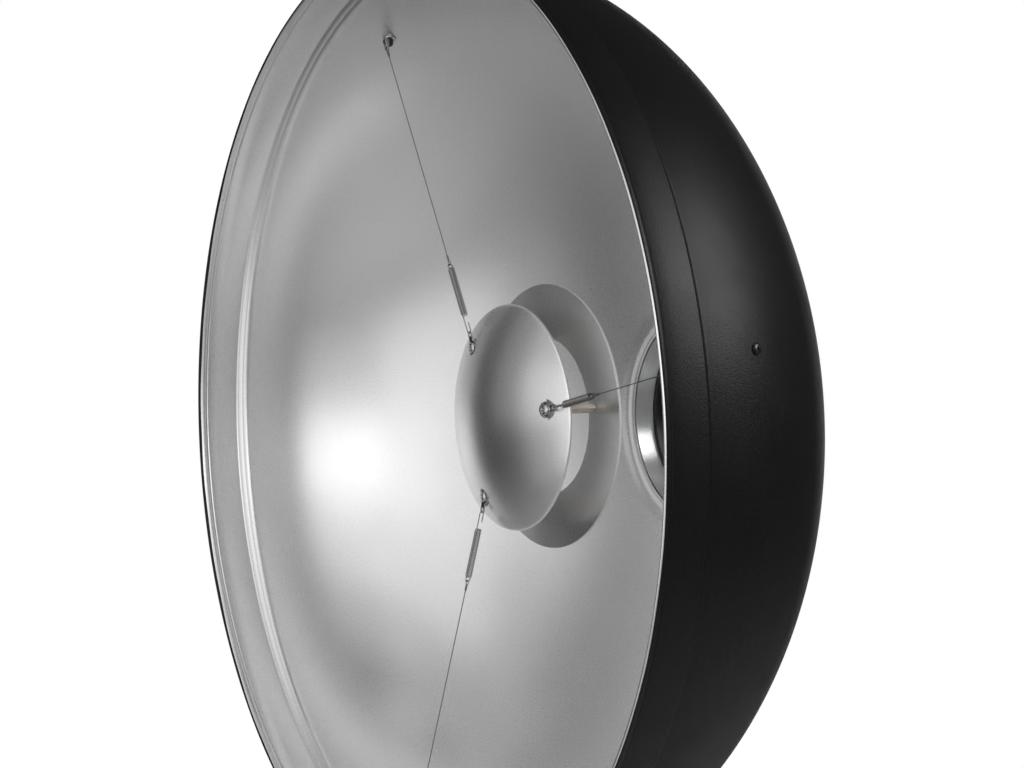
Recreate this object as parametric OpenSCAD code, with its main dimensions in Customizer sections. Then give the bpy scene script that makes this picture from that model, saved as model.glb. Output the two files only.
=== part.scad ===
// Studio flash reflector of the beauty dish kind: a wide dish on a round insert, with a
// two-plate deflector hung in front of the flash on three sprung cables.
// Millimetres. The dish's axis is Y and its open front faces -Y; X is to the right seen
// from the front and Z is up. The origin is the centre of the bayonet's seating face.
// Depths are counted backwards from the plane of the front rim.

/* [Rim and band] */
// Outside radius of the rolled rim
rim_r = 350; // [290:1:420]
// Thickness of the rolled rim, measured along the radius
hem_t = 4.5; // [3.5:0.1:6]
// Length of the rolled rim, measured along the axis
hem_len = 6.5; // [5:0.1:9]
// Depth of the straight band that takes a grid
band_depth = 34; // [20:1:50]
// Sheet thickness of the dish
sheet = 1.5; // [1:0.1:2]

/* [Bowl] */
// How far the bowl's widest point lies inside the rim radius
bowl_inset = 10.5; // [7:0.5:20]
// Length of the step between the band and the bowl
step_len = 6; // [4:1:12]
// Depth of the bowl behind the step, as far as its closed curve would reach
bowl_rise = 234.5; // [190:0.5:285]

/* [Neck] */
// Width of the flat land around the opening
land_w = 10; // [6:1:16]
// Width of the soft groove around the land
groove_w = 6; // [4:1:10]
// How far the land is pressed back from the bowl
groove_sink = 2.5; // [1:0.1:4]
// Length of the neck behind the land
neck_len = 17; // [14:0.5:30]
// Width of the flange beyond the mount ring's body
flange_w = 8; // [6.5:0.5:16]

/* [Mount ring] */
// Radius of the insert that the ring takes
insert_r = 76; // [62:0.5:92]
// How far the polished lip covers the insert's edge
lip_cover = 0.3; // [0.2:0.1:3]
// Gap in the neck between the insert and the dish, which the ring fills
ring_gap = 2; // [1.5:0.5:6]
// Thickness of the ring's flange
ring_flange_t = 3; // [2:0.5:5]
// Wall of the ring behind its flange
ring_wall = 8; // [6:0.5:14]
// Length of the ring behind its flange
ring_len = 13.5; // [13:0.5:20]
// Number of rivets in the flange
rivet_count = 6; // [3:1:12]

/* [Insert and bayonet] */
// Wall of the insert's sleeve
sleeve_wall = 4.5; // [3.5:0.5:10]
// Thickness of the insert's back plate
plate_t = 3.4; // [2.5:0.1:6]
// Radius of the flash opening
opening_r = 44; // [35:0.5:54]
// Wall of the bayonet tube
tube_wall = 3; // [2:0.5:4]
// Length of the bayonet tube behind its seating face
tube_len = 9.9; // [8:0.1:16]
// Width of the bayonet's flange around the tube
bayonet_w = 15; // [11:0.5:18]
// How far each claw stands out from the tube
claw_out = 5; // [3:0.5:8]
// Width of each claw, in degrees
claw_angle = 30; // [20:1:50]

/* [Clamp screws] */
// Thread radius of the clamp screws
clamp_r = 2.45; // [1.9:0.05:3]
// Knurled head radius
knob_r = 6; // [4.5:0.1:6]
// Knurled head length
knob_len = 9; // [6:0.5:14]

/* [Deflector] */
// Sideways offset of the hung deflector
hang_x = 2.5; // [-8:0.5:8]
// Upward offset of the hung deflector
hang_z = 5.5; // [-8:0.5:8]
// Radius of the domed front plate
dome_r = 84; // [68:0.5:102]
// Height of the dome
dome_h = 20; // [12:0.5:26]
// Depth of the dome's edge
dome_depth = 102; // [90:0.5:130]
// Thickness of the domed plate
dome_t = 1.5; // [1:0.1:2.5]
// Length of the posts between the plates
post_len = 36; // [25:0.5:50]
// Width across the flats of the posts
post_af = 7; // [6:0.5:9]
// Distance from the dome's edge in to the posts
post_inset = 19; // [14:0.5:26]
// How far the flat rear plate stands out beyond the dome
plate_over = 15; // [0:0.5:30]
// Distance from the posts in to the edge of the rear plate's hole
plate_inner_w = 7; // [6:0.5:30]
// Thickness of the rear plate
rear_plate_t = 2; // [1:0.1:3]

/* [Suspension] */
// Depth of the three wall anchors
anchor_depth = 82; // [70:0.5:110]
// Thickness of the eye lugs
lug_t = 1; // [0.8:0.1:1.5]
// Width of a lug's tail
lug_w = 4.6; // [4.2:0.1:6]
// Distance from a screw to the eye of its lug
lug_len = 10.9; // [9:0.1:14]
// Radius of the eye in a lug
eye_r = 1.6; // [1.5:0.1:1.8]
// Outside radius of the springs
spring_r = 2.7; // [2.3:0.1:3.5]
// Wire radius of the springs
spring_wire_r = 0.4; // [0.3:0.05:0.45]
// Length of the coiled part of a spring
spring_len = 39.5; // [25:0.5:60]
// Length of the hook in front of the coils
hook_len = 15.5; // [11:0.5:22]
// Radius of the steel cable
cable_r = 0.4; // [0.3:0.05:0.5]

/* [Hidden] */
$fn = 64;
eps = 0.01;

// Angles about Y, counted from +X towards +Z
post_angles = [6, 126, 246];
anchor_angles = [9, 114, 250];
clamp_angles = [90, 210, 330];

// Clearances
seat_gap = 0.05;
fit_gap = 0.1;
wall_gap = 0.25;
swing_gap = 0.5;

// Dish
hem_r = hem_t / 2;
band_r = rim_r - hem_t + sheet;
bowl_r = rim_r - bowl_inset;
equator_d = band_depth + step_len;
neck_r = insert_r + ring_gap;
groove_r = neck_r + land_w + groove_w;
curl_in = 0.5;
curl_out = curl_in + sheet;
land_d = bowl_d(groove_r) + groove_sink;
flange_d = land_d + neck_len;
curve_steps = 36;
bend_steps = 8;

// Mount ring, insert and bayonet, front to back
ring_r = insert_r + ring_wall;
flange_r = ring_r + flange_w;
lip_r = insert_r - lip_cover;
sleeve_r = insert_r - sleeve_wall;
ring_front_d = land_d + 0.9;
ring_out_r = neck_r - fit_gap;
mouth_r = ring_out_r - 0.5;
shoulder_d = flange_d - 1;
shoulder_t = 0.8;
ring_flange_d = flange_d + sheet + seat_gap;
ring_back_d = ring_flange_d + ring_flange_t + ring_len;
insert_front_d = shoulder_d + shoulder_t + fit_gap;
plate_d = ring_back_d + fit_gap;
bayonet_d = plate_d + plate_t + fit_gap;
bayonet_t = 2.5;
seat_d = bayonet_d + bayonet_t;
tube_r = opening_r + tube_wall;
bayonet_r = tube_r + bayonet_w;
claw_t = 3;
claw_clear = 4;
clamp_d = ring_back_d - knob_r - 0.5;
slot_w = 5.2;
slot_floor_r = insert_r - 2.2;
rivet_r = 2;
rivet_circle_r = (ring_r + flange_r) / 2 + 0.4;
rivet_head_r = 3;
rivet_head_h = 1.2;
bayonet_screw_count = 6;
bayonet_screw_circle_r = (tube_r + bayonet_r) / 2 + 1.5;

// Deflector, front to back
post_circle_r = dome_r - post_inset;
plate_r = dome_r + plate_over;
plate_hole_r = post_circle_r - plate_inner_w;
dome_ball_r = (dome_r * dome_r + dome_h * dome_h) / (2 * dome_h);
dome_front_d = dome_depth - dome_h;
seat_sink = 0.8;
seat_r = 6;
boss_r = 7.5;
seat_face_d = dome_front_d + sag(post_circle_r) + seat_sink;
boss_back_d = seat_face_d + 3.5;
lug_d = seat_face_d - seat_gap - lug_t;
m4_r = 1.95;
m4_hole_r = 2.05;
pan_r = 4;
pan_h = 2.6;
post_d = boss_back_d + seat_gap;
rear_plate_d = post_d + post_len + seat_gap;
washer_t = 0.8;
washer_r = 4.5;
lug_ring_r = 5.2;
lug_end_r = eye_r + 1;

// Wall anchors
wall_r = inner_r(anchor_depth);
wall_tilt = atan((anchor_depth - equator_d) / pow(bowl_rise, 2) * pow(bowl_r, 2) / wall_r);
bend_out = 5.2;
wall_tail = 7.5;
bend_r = lug_t * 0.6;
cap_r = 2.8;
cap_len = 5.6;
cap_d = -wall_gap - lug_t - seat_gap;
cap_wall = 1.3;

// Suspension, measured along each line from the eye of its deflector lug
hook_r = 1.5;
hook_x = eye_r - spring_wire_r - swing_gap + hook_r;
coil_x = hook_len;
coil_end_x = coil_x + spring_len;
coil_turns = 30;
coil_root_r = spring_r - 0.35;
coil_bore_r = spring_r - 2 * spring_wire_r;
end_turn_t = 0.8;
end_turn_r = 1;
tip_len = 7.6;
loop_r = 1.9;
loop_x = coil_end_x + loop_r - 0.3;
link_r = 1.7;
link_x = loop_x + loop_r - spring_wire_r - cable_r - fit_gap + link_r;
ferrule_r = 0.95;
ferrule_len = 4.5;
eye_loop_r = 1.6;
eye_loop_back = eye_r - cable_r - 0.3 + eye_loop_r;

// ---- Curves and places ----

// Depth of the bowl's outer face at radius r
function bowl_d(r) = equator_d + bowl_rise * sqrt(1 - pow(r / bowl_r, 2));

// Radius of the bowl's inner face at depth d
function inner_r(d) = (bowl_r - sheet) * sqrt(1 - pow((d - equator_d) / (bowl_rise - sheet), 2));

// How far the dome's front face falls back at radius r
function sag(r) = dome_ball_r - sqrt(dome_ball_r * dome_ball_r - r * r);

// Points of an arc as [radius, depth], from angle a to angle b
function arc(cr, cd, r, a, b, n = bend_steps) =
    [for (i = [0:n]) let (t = a + (b - a) * i / n) [cr + r * cos(t), cd + r * sin(t)]];

// Soft S-shaped blend from one [radius, depth] to another, along the radius
function blend_r(p, q, n = bend_steps) =
    [for (i = [0:n]) let (t = i / n) [p[0] + (q[0] - p[0]) * t,
        p[1] + (q[1] - p[1]) * (1 - cos(180 * t)) / 2]];

// Soft S-shaped blend from one [radius, depth] to another, along the depth
function blend_d(p, q, n = bend_steps) =
    [for (i = [0:n]) let (t = i / n) [p[0] + (q[0] - p[0]) * (1 - cos(180 * t)) / 2,
        p[1] + (q[1] - p[1]) * t]];

// The bowl's quarter ellipse, drawn in by off, from its widest point to radius r_end
function bowl_curve(off, r_end) = let (a_end = acos(r_end / (bowl_r - off)))
    [for (i = [1:curve_steps]) let (t = a_end * i / curve_steps)
        [(bowl_r - off) * cos(t), equator_d + (bowl_rise - off) * sin(t)]];

function polar(r, a, y) = [r * cos(a), y, r * sin(a)];

function screw_point(i) = [hang_x, lug_d + lug_t / 2 - seat_d, hang_z]
    + polar(post_circle_r, post_angles[i], 0);
function wall_out(i) = polar(cos(wall_tilt), anchor_angles[i], sin(wall_tilt));
function wall_front(i) = polar(sin(wall_tilt), anchor_angles[i], -cos(wall_tilt));
function bend_point(i) = polar(wall_r, anchor_angles[i], anchor_depth - seat_d)
    - (wall_gap + lug_t / 2) * wall_out(i) + bend_out * wall_front(i);
function line_turn(i) = let (v = bend_point(i) - screw_point(i)) atan2(v[2], v[0]);
function eye_point(i) = screw_point(i) + polar(lug_len, line_turn(i), 0);
function line_rise(i) = let (v = bend_point(i) - eye_point(i)) atan2(v[1], norm([v[0], v[2]]));
function line_len(i) = norm(bend_point(i) - eye_point(i));
function wall_eye_x(i) = line_len(i) - wall_tail;
function pivot_x(i) = wall_eye_x(i) - eye_loop_back;

// ---- Frames ----

// Turns a profile of [radius, depth] about the dish's axis
module turned(points) {
    translate([0, -seat_d, 0]) rotate([-90, 0, 0]) rotate_extrude($fn = 180) polygon(points);
}

// A rod along the axis, from one depth to another
module axial_rod(r, from_d, to_d) {
    translate([0, from_d - seat_d, 0]) rotate([-90, 0, 0]) cylinder(r = r, h = to_d - from_d);
}

// Children placed off the axis, at radius r and angle a
module at_polar(r, a) {
    translate(polar(r, a, 0)) children();
}

// Children that point out along the radius: their X is the radius, at angle a and depth d
module radial(a, d) {
    rotate([0, -a, 0]) translate([0, d - seat_d, 0]) children();
}

// Children on the bowl's inner face at anchor i: their X points out through the sheet
module at_anchor(i) {
    translate(polar(wall_r, anchor_angles[i], anchor_depth - seat_d))
        rotate([0, -anchor_angles[i], 0]) rotate([0, 0, wall_tilt]) children();
}

// Children on suspension line i: their X runs from the deflector's eye to the wall
module on_line(i) {
    translate(eye_point(i)) rotate([0, -line_turn(i), 0]) rotate([0, 0, line_rise(i)]) children();
}

// A rod along X
module rod_x(r, from_x, to_x) {
    translate([from_x, 0, 0]) rotate([0, 90, 0]) cylinder(r = r, h = to_x - from_x);
}

// A profile of [radius, x] turned about X
module turned_x(points) {
    rotate([0, 90, 0]) rotate_extrude() polygon(points);
}

// A wire ring about Z, or part of one
module wire_ring(r, wire_r, angle = 360) {
    rotate_extrude(angle = angle) translate([r, 0]) circle(r = wire_r, $fn = 16);
}

// Pan head on a flat face at x = 0, crowned towards -X
module pan_head(r, h) {
    rim_h = h * 0.45;
    crown_r = (r * r + pow(h - rim_h, 2)) / (2 * (h - rim_h));
    turned_x(concat([[0, 0], [r, 0], [r, -rim_h]],
        [for (i = [1:6]) let (q = r * (1 - i / 6))
            [q, -h + crown_r - sqrt(crown_r * crown_r - q * q)]]));
}

// Cross recess in a pan head of height h
module cross_recess(h) {
    recess_w = 1.1;
    recess_l = 4.4;
    for (a = [0, 90]) rotate([a, 0, 0])
        translate([-h - 1, -recess_w / 2, -recess_l / 2]) cube([2.4, recess_w, recess_l]);
}

// ---- Dish ----

// Outer and inner faces of the spun sheet, as one closed profile
module dish_profile() {
    outer = concat(
        blend_d([band_r, band_depth], [bowl_r, equator_d]),
        bowl_curve(0, groove_r),
        blend_r([groove_r, bowl_d(groove_r)], [neck_r + land_w, land_d]),
        arc(neck_r + curl_out, land_d + curl_in, curl_in, 270, 180),
        arc(neck_r + curl_out, flange_d - curl_in, curl_in, 180, 90),
        [[flange_r, flange_d]]);
    inner = concat(
        [[flange_r, flange_d + sheet]],
        arc(neck_r + curl_out, flange_d - curl_in, curl_out, 90, 180),
        arc(neck_r + curl_out, land_d + curl_in, curl_out, 180, 270),
        blend_r([neck_r + land_w, land_d - sheet], [groove_r, bowl_d(groove_r) - sheet]),
        [for (i = [curve_steps:-1:1]) bowl_curve(sheet, groove_r)[i - 1]],
        blend_d([bowl_r - sheet, equator_d], [band_r - sheet, band_depth]),
        [[band_r - sheet, hem_r], [band_r, hem_r]]);
    polygon(concat(outer, inner));
    // Rolled rim: a rounded double thickness, turned outwards
    for (d = [hem_r, hem_len - hem_r]) translate([rim_r - hem_r, d]) circle(r = hem_r);
    translate([rim_r - hem_t, hem_r]) square([hem_t, hem_len - hem_t]);
}

module dish_shell() {
    color([0.08, 0.08, 0.085]) difference() {
        translate([0, -seat_d, 0]) rotate([-90, 0, 0]) rotate_extrude($fn = 180) dish_profile();
        for (i = [0:2]) at_anchor(i) rod_x(m4_hole_r, -2, sheet + 2);
        for (k = [0:rivet_count - 1]) at_polar(rivet_circle_r, rivet_angle(k))
            axial_rod(rivet_r + seat_gap, flange_d - 1, flange_d + sheet + 1);
    }
}

// ---- Mount ring, insert and bayonet ----

function rivet_angle(k) = clamp_angles[0] + 360 / rivet_count * (k + 0.5);

module mount_ring() {
    color([0.86, 0.87, 0.88]) difference() {
        turned(concat(
            [[mouth_r, ring_front_d], [lip_r, shoulder_d], [lip_r, shoulder_d + shoulder_t],
                [insert_r + fit_gap, shoulder_d + shoulder_t], [insert_r + fit_gap, ring_back_d],
                [ring_r, ring_back_d], [ring_r, ring_flange_d + ring_flange_t],
                [flange_r, ring_flange_d + ring_flange_t], [flange_r, ring_flange_d]],
            arc(neck_r + curl_out, flange_d - curl_in, curl_out + fit_gap, 90, 180),
            [[ring_out_r, ring_front_d]]));
        for (a = clamp_angles) radial(a, clamp_d)
            rod_x(clamp_r + seat_gap, insert_r - 1, ring_r + 1);
        for (k = [0:rivet_count - 1]) at_polar(rivet_circle_r, rivet_angle(k))
            axial_rod(rivet_r + seat_gap, ring_flange_d - 1, ring_flange_d + ring_flange_t + 1);
    }
}

// Rivets through the neck's flange and the ring's flange
module flange_rivets() {
    front_d = flange_d - seat_gap;
    back_d = ring_flange_d + ring_flange_t + seat_gap;
    color([0.7, 0.7, 0.72]) for (k = [0:rivet_count - 1])
        at_polar(rivet_circle_r, rivet_angle(k)) {
            axial_rod(rivet_r, front_d - rivet_head_h, back_d + rivet_head_h);
            axial_rod(rivet_head_r, front_d - rivet_head_h, front_d);
            axial_rod(rivet_head_r, back_d, back_d + rivet_head_h);
        }
}

// Black insert: a sleeve with a groove for the clamp screws, and a plate behind it
module insert_ring() {
    key_w = 2;
    web = 2.4;
    color([0.05, 0.05, 0.05]) difference() {
        turned([[sleeve_r, insert_front_d], [insert_r, insert_front_d],
            [insert_r, clamp_d - slot_w / 2], [slot_floor_r, clamp_d - slot_w / 2],
            [slot_floor_r, clamp_d + slot_w / 2], [insert_r, clamp_d + slot_w / 2],
            [insert_r, plate_d], [ring_r, plate_d], [ring_r, plate_d + plate_t],
            [tube_r + 3, plate_d + plate_t], [tube_r + 3, plate_d + 0.6],
            [sleeve_r, plate_d - web]]);
        // Keyway in the bore, on the left seen from the front
        radial(180, insert_front_d - 1)
            translate([sleeve_r - 1, 0, -key_w / 2]) cube([1.8, 8, key_w]);
        for (k = [0:bayonet_screw_count - 1]) at_polar(bayonet_screw_circle_r, bayonet_angle(k))
            axial_rod(1.55, plate_d + 0.8, plate_d + plate_t + 1);
    }
}

function bayonet_angle(k) = 360 / bayonet_screw_count * (k + 0.5);

module bayonet_ring() {
    color([0.75, 0.76, 0.78]) difference() {
        union() {
            turned([[opening_r, bayonet_d], [bayonet_r, bayonet_d], [bayonet_r, seat_d],
                [tube_r, seat_d], [tube_r, seat_d + tube_len], [opening_r, seat_d + tube_len]]);
            for (a = clamp_angles) rotate([0, claw_angle / 2 - a, 0])
                translate([0, claw_clear, 0]) rotate([-90, 0, 0])
                    rotate_extrude(angle = claw_angle, $fn = 180)
                        translate([tube_r - 1, 0]) square([claw_out + 1, claw_t]);
        }
        for (k = [0:bayonet_screw_count - 1]) at_polar(bayonet_screw_circle_r, bayonet_angle(k)) {
            axial_rod(1.6, bayonet_d - 1, seat_d + 1);
            translate([0, -1.5, 0]) rotate([-90, 0, 0]) cylinder(r1 = 1.6, r2 = 3.1, h = 1.5 + eps);
        }
    }
}

// Countersunk screws, flush with the seating face
module bayonet_screws() {
    color([0.12, 0.12, 0.12]) for (k = [0:bayonet_screw_count - 1])
        at_polar(bayonet_screw_circle_r, bayonet_angle(k)) difference() {
            union() {
                axial_rod(1.5, plate_d + 1, seat_d - 1.4);
                translate([0, -1.5, 0]) rotate([-90, 0, 0]) cylinder(r1 = 1.5, r2 = 2.9, h = 1.4);
            }
            for (a = [0, 90]) rotate([0, a, 0])
                translate([-0.4, -0.9, -1.5]) cube([0.8, 2, 3]);
        }
}

// ---- Clamp screws ----

// Knurled thumb screw at angle a, tightened on its tip
module clamp_screw(a) {
    teeth = 30;
    tip_r = slot_floor_r + 0.3;
    shank_r = tip_r + 3;
    head_r = ring_r + 2;
    color([0.1, 0.1, 0.1]) radial(a, clamp_d) difference() {
        union() {
            rod_x(clamp_r, shank_r, head_r + 1);
            rod_x(clamp_r + 1.5, head_r - 1, head_r + 1);
            translate([head_r, 0, 0]) rotate([0, 90, 0]) linear_extrude(knob_len)
                polygon([for (i = [0:2 * teeth - 1]) let (q = knob_r - 0.45 * (i % 2))
                    [q * cos(180 * i / teeth), q * sin(180 * i / teeth)]]);
        }
        rod_x(1.06, shank_r - 1, shank_r + 2.5);
        rod_x(knob_r - 2, head_r + knob_len - 0.8, head_r + knob_len + 1);
    }
}

// Brass pressure tip, free to stay still while its screw turns
module clamp_tip(a) {
    tip_r = slot_floor_r + 0.3;
    color([0.78, 0.62, 0.3]) radial(a, clamp_d) {
        rod_x(clamp_r - 0.25, tip_r, tip_r + 2.7);
        rod_x(1, tip_r + 1, tip_r + 5);
    }
}

// ---- Wall anchors ----

// Button-head screws from outside
module wall_screws() {
    head_r = 3.8;
    head_h = 2.2;
    color([0.05, 0.05, 0.05]) for (i = [0:2]) at_anchor(i) difference() {
        union() {
            translate([sheet + seat_gap, 0, 0]) mirror([1, 0, 0]) pan_head(head_r, head_h);
            rod_x(m4_r, cap_d - cap_len + cap_wall + 0.3, sheet + seat_gap + eps);
        }
        translate([sheet + seat_gap + 0.9, 0, 0]) rotate([0, 90, 0]) rotate([0, 0, 30])
            cylinder(r = 1.45, h = 3, $fn = 6);
    }
}

// Domed black nuts inside the bowl
module wall_cap_nuts() {
    crown_x = cap_d - cap_len + cap_r;
    color([0.04, 0.04, 0.04]) for (i = [0:2]) at_anchor(i) difference() {
        union() {
            rod_x(cap_r, crown_x, cap_d);
            translate([crown_x, 0, 0]) sphere(r = cap_r);
        }
        rod_x(m4_hole_r, cap_d - cap_len + cap_wall, cap_d + 1);
    }
}

// Lug under a cap nut, with its tail bent up along the cable
module wall_lug(i) {
    x_eye = wall_eye_x(i);
    color([0.78, 0.78, 0.8]) {
        at_anchor(i) difference() {
            union() {
                rod_x(lug_ring_r, -lug_t - wall_gap, -wall_gap);
                translate([-lug_t - wall_gap, -bend_out, -lug_w / 2]) cube([lug_t, bend_out, lug_w]);
                translate([-lug_t / 2 - wall_gap, -bend_out, -lug_w / 2 - 0.05])
                    cylinder(r = bend_r, h = lug_w + 0.1);
            }
            rod_x(m4_hole_r, -lug_t - 1, 1);
        }
        on_line(i) difference() {
            union() {
                translate([x_eye, -lug_t / 2, -lug_w / 2]) cube([wall_tail, lug_t, lug_w]);
                translate([x_eye, -lug_t / 2, 0]) rotate([-90, 0, 0])
                    cylinder(r = lug_end_r, h = lug_t);
            }
            translate([x_eye, -lug_t, 0]) rotate([-90, 0, 0]) cylinder(r = eye_r, h = 2 * lug_t);
        }
    }
}

// ---- Cables and springs ----

// Cable with an eye at each end: one in the spring's loop, one in the wall lug
module cable(i) {
    color([0.45, 0.45, 0.46]) on_line(i) {
        translate([link_x, 0, 0]) rotate([90, 0, 0]) wire_ring(link_r, cable_r);
        rod_x(cable_r, link_x + link_r, pivot_x(i) - eye_loop_r);
        translate([pivot_x(i), 0, 0]) wire_ring(eye_loop_r, cable_r);
    }
}

// Crimped sleeves behind the two eyes
module ferrules(i) {
    first_x = link_x + link_r + cable_r + seat_gap;
    last_x = pivot_x(i) - eye_loop_r - cable_r - seat_gap;
    color([0.3, 0.3, 0.3]) on_line(i) difference() {
        union() {
            rod_x(ferrule_r, first_x, first_x + ferrule_len);
            rod_x(ferrule_r, last_x - ferrule_len, last_x);
        }
        rod_x(cable_r + seat_gap, first_x - 1, last_x + 1);
    }
}

// Close-wound spring: a long open hook, the coils as a ridged sleeve, and a closed loop
module spring(i) {
    pitch = spring_len / coil_turns;
    ridges = [for (k = [0:coil_turns - 1]) for (p = [[coil_root_r, 0], [spring_r, 0.5]])
        [p[0], coil_x + (k + p[1]) * pitch]];
    bore = [[coil_root_r, coil_end_x], [end_turn_r, coil_end_x],
        [end_turn_r, coil_end_x - end_turn_t], [coil_bore_r, coil_end_x - end_turn_t],
        [coil_bore_r, coil_x + end_turn_t], [end_turn_r, coil_x + end_turn_t],
        [end_turn_r, coil_x]];
    color([0.68, 0.65, 0.6]) on_line(i) {
        turned_x(concat(ridges, bore));
        translate([hook_x, 0, 0]) rotate([0, 0, 90]) wire_ring(hook_r, spring_wire_r, 180);
        translate([0, -hook_r, 0]) rod_x(spring_wire_r, hook_x, coil_x + 0.5);
        translate([0, hook_r, 0]) rod_x(spring_wire_r, hook_x, hook_x + tip_len);
        translate([loop_x, 0, 0]) wire_ring(loop_r, spring_wire_r);
    }
}

// ---- Deflector ----

// Ring lug under a dome screw, its tail towards the wall
module dome_lug(i) {
    color([0.8, 0.8, 0.82]) translate(screw_point(i)) rotate([0, -line_turn(i), 0])
        difference() {
            translate([0, -lug_t / 2, 0]) union() {
                rotate([-90, 0, 0]) cylinder(r = lug_ring_r, h = lug_t);
                translate([0, 0, -lug_w / 2]) cube([lug_len, lug_t, lug_w]);
                translate([lug_len, 0, 0]) rotate([-90, 0, 0]) cylinder(r = lug_end_r, h = lug_t);
            }
            translate([0, -lug_t, 0]) rotate([-90, 0, 0]) cylinder(r = m4_hole_r, h = 2 * lug_t);
            translate([lug_len, -lug_t, 0]) rotate([-90, 0, 0]) cylinder(r = eye_r, h = 2 * lug_t);
        }
}

module on_deflector() {
    translate([hang_x, 0, hang_z]) children();
}

module at_post(i) {
    on_deflector() at_polar(post_circle_r, post_angles[i]) children();
}

// Domed front plate, with three spot-faced bosses for the posts
module deflector_dome() {
    steps = 24;
    front = [for (i = [0:steps]) let (q = dome_r * i / steps) [q, dome_front_d + sag(q)]];
    back = [for (i = [steps:-1:0]) let (q = dome_r * i / steps)
        [q, dome_front_d + sag(q) + dome_t]];
    fill = concat(front, [[dome_r, boss_back_d + 20], [0, boss_back_d + 20]]);
    color([0.8, 0.81, 0.82]) difference() {
        union() {
            on_deflector() turned(concat(front, back));
            intersection() {
                on_deflector() turned(fill);
                for (i = [0:2]) at_post(i) axial_rod(boss_r, dome_front_d, boss_back_d);
            }
        }
        for (i = [0:2]) at_post(i) {
            axial_rod(seat_r, dome_front_d - 5, seat_face_d);
            axial_rod(m4_hole_r, dome_front_d - 5, boss_back_d + 5);
        }
    }
}

// Flat ring behind the dome
module deflector_plate() {
    color([0.78, 0.79, 0.8]) difference() {
        on_deflector() axial_rod(plate_r, rear_plate_d, rear_plate_d + rear_plate_t, $fn = 180);
        on_deflector() axial_rod(plate_hole_r, rear_plate_d - 1, rear_plate_d + rear_plate_t + 1);
        for (i = [0:2]) at_post(i)
            axial_rod(m4_hole_r, rear_plate_d - 1, rear_plate_d + rear_plate_t + 1);
    }
}

// Hexagonal post, tapped at both ends
module post(i) {
    color([0.66, 0.62, 0.56]) at_post(i) difference() {
        translate([0, post_d - seat_d, 0]) rotate([-90, 0, 0])
            cylinder(r = post_af / sqrt(3), h = post_len, $fn = 6);
        axial_rod(m4_hole_r, post_d - 1, post_d + 12);
        axial_rod(m4_hole_r, post_d + post_len - 12, post_d + post_len + 1);
    }
}

module dome_screws() {
    color([0.85, 0.85, 0.87]) for (i = [0:2]) at_post(i)
        translate([0, lug_d - seat_gap - seat_d, 0]) rotate([0, 0, 90]) difference() {
            union() {
                pan_head(pan_r, pan_h);
                rod_x(m4_r, -eps, 15);
            }
            cross_recess(pan_h);
        }
}

module plate_screws() {
    head_d = rear_plate_d + rear_plate_t + washer_t + 2 * seat_gap;
    color([0.8, 0.8, 0.82]) for (i = [0:2]) at_post(i)
        translate([0, head_d - seat_d, 0]) rotate([0, 0, -90]) difference() {
            union() {
                pan_head(pan_r - 0.2, pan_h);
                rod_x(m4_r, -eps, 13);
            }
            cross_recess(pan_h);
        }
}

module plate_washers() {
    front_d = rear_plate_d + rear_plate_t + seat_gap;
    color([0.7, 0.7, 0.72]) for (i = [0:2]) at_post(i) difference() {
        axial_rod(washer_r, front_d, front_d + washer_t);
        axial_rod(m4_hole_r, front_d - 1, front_d + washer_t + 1);
    }
}

dish_shell();
mount_ring();
flange_rivets();
insert_ring();
bayonet_ring();
bayonet_screws();
clamp_screw(clamp_angles[0]);  // clamp_screw_top
clamp_screw(clamp_angles[1]);  // clamp_screw_left
clamp_screw(clamp_angles[2]);  // clamp_screw_right
clamp_tip(clamp_angles[0]);  // clamp_tip_top
clamp_tip(clamp_angles[1]);  // clamp_tip_left
clamp_tip(clamp_angles[2]);  // clamp_tip_right
wall_screws();
wall_cap_nuts();
wall_lug(0);  // wall_lug_right
wall_lug(1);  // wall_lug_upper
wall_lug(2);  // wall_lug_lower
cable(0);  // cable_right
cable(1);  // cable_upper
cable(2);  // cable_lower
ferrules(0);  // ferrules_right
ferrules(1);  // ferrules_upper
ferrules(2);  // ferrules_lower
spring(0);  // spring_right
spring(1);  // spring_upper
spring(2);  // spring_lower
deflector_dome();
deflector_plate();
post(0);  // post_right
post(1);  // post_upper
post(2);  // post_lower
dome_lug(0);  // dome_lug_right
dome_lug(1);  // dome_lug_upper
dome_lug(2);  // dome_lug_lower
dome_screws();
plate_screws();
plate_washers();
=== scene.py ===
"""Beauty dish reflector with a sprung deflector: the looks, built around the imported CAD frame.

Lengths below are in millimetres and become metres in the meshes. The dish's axis is Y and its
open front faces -Y; X is to the right seen from the front and Z is up. Depths are counted
backwards from the plane of the front rim, as in the CAD.
"""
import math

import bpy
import bmesh
from mathutils import Matrix, Vector


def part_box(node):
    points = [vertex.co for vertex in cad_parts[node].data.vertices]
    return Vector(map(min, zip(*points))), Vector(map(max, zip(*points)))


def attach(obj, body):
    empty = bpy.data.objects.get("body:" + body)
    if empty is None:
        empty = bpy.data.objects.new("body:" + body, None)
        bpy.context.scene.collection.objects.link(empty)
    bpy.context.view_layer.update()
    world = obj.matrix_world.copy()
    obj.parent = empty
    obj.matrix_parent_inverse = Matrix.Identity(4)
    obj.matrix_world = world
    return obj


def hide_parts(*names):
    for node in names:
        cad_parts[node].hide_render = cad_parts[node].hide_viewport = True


MM = 0.001
TAU = 2 * math.pi

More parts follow.
